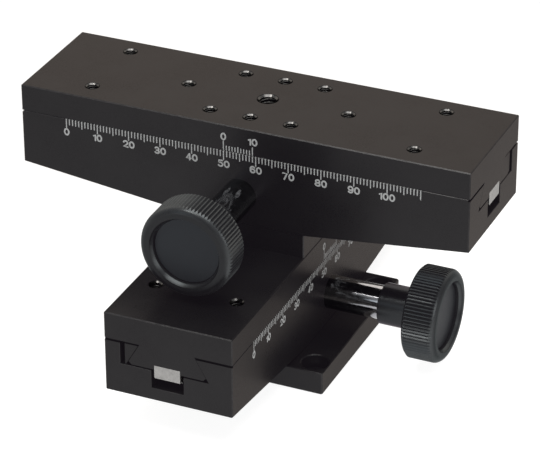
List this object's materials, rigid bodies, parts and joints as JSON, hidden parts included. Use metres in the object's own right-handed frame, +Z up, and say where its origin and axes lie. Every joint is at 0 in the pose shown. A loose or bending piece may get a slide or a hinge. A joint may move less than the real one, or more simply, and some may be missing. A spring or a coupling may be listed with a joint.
{
  "type": "two-axis linear stage",
  "caption": "Two crossed dovetail stages with rack-and-pinion knobs, millimetre scales with verniers, tapped top holes and a bolt-down flange.",
  "frame": {"origin": "centre of the mount plate's underside, on the axes of both travels", "axes": "+Z up; +X along the upper slide's travel, with its knob and scale on the -Y side; +Y along the lower slide's travel, with its knob and scale on the +X side"},
  "size_m": [0.139, 0.139, 0.0755],
  "materials": {
    "black_anodised": "black anodised, fine satin",
    "black_steel": "black oxide",
    "rack_steel": "ground",
    "screw_steel": "satin",
    "bush_bronze": "satin",
    "white_plastic": "matte",
    "polished_black": "polished dark",
    "matt_black": "matt black",
    "knob_black": "satin black, knurled",
    "knob_cap": "satin black"
  },
  "bodies": {
    "lower_frame": {"lower_base": "black_anodised", "lower_gib": "black_anodised", "lower_gib_screws": "black_steel", "lower_rear_bush": "bush_bronze", "lower_sleeve": "polished_black", "lower_sleeve_bushes": "bush_bronze", "lower_thrust_washers": "white_plastic", "lower_sleeve_set_screw": "black_steel", "lower_drag_ring": "white_plastic", "lower_drag_collar": "matt_black", "lower_stop_pin": "screw_steel", "lower_mount_plate": "black_anodised", "lower_plate_screws": "black_steel"},
    "lower_knob_set": {"lower_pinion": "screw_steel", "lower_shaft": "screw_steel", "lower_knob": "knob_black", "lower_knob_screw": "screw_steel", "lower_knob_cap": "knob_cap"},
    "lower_carriage": {"lower_slide": "black_anodised", "lower_rack": "rack_steel", "lower_rack_screws": "screw_steel", "upper_base": "black_anodised", "upper_gib": "black_anodised", "upper_gib_screws": "black_steel", "upper_rear_bush": "bush_bronze", "upper_sleeve": "polished_black", "upper_sleeve_bushes": "bush_bronze", "upper_thrust_washers": "white_plastic", "upper_sleeve_set_screw": "black_steel", "upper_drag_ring": "white_plastic", "upper_drag_collar": "matt_black", "upper_stop_pin": "screw_steel", "upper_spacer": "black_anodised", "upper_spacer_screws": "black_steel", "upper_mount_screws": "black_steel"},
    "upper_knob_set": {"upper_pinion": "screw_steel", "upper_shaft": "screw_steel", "upper_knob": "knob_black", "upper_knob_screw": "screw_steel", "upper_knob_cap": "knob_cap"},
    "upper_carriage": {"upper_slide": "black_anodised", "upper_rack": "rack_steel", "upper_rack_screws": "screw_steel"}
  },
  "joints": [
    {"name": "lower_travel", "type": "slide", "parent": "lower_frame", "child": "lower_carriage", "axis": [0, 1, 0], "range_m": [-0.05, 0.05]},
    {"name": "upper_travel", "type": "slide", "parent": "lower_carriage", "child": "upper_carriage", "axis": [1, 0, 0], "range_m": [-0.05, 0.05]},
    {"name": "lower_knob_turn", "type": "hinge", "parent": "lower_frame", "child": "lower_knob_set", "pos_m": [0.052, 0, 0.01635], "axis": [1, 0, 0], "range_deg": [-896, 896]},
    {"name": "upper_knob_turn", "type": "hinge", "parent": "lower_carriage", "child": "upper_knob_set", "pos_m": [0, -0.052, 0.0541], "axis": [0, -1, 0], "range_deg": [-896, 896]}
  ],
  "couplings": [
    {"joint": "lower_knob_turn", "follows": "lower_travel", "rad_per_m": -312.5},
    {"joint": "upper_knob_turn", "follows": "upper_travel", "rad_per_m": -312.5}
  ]
}
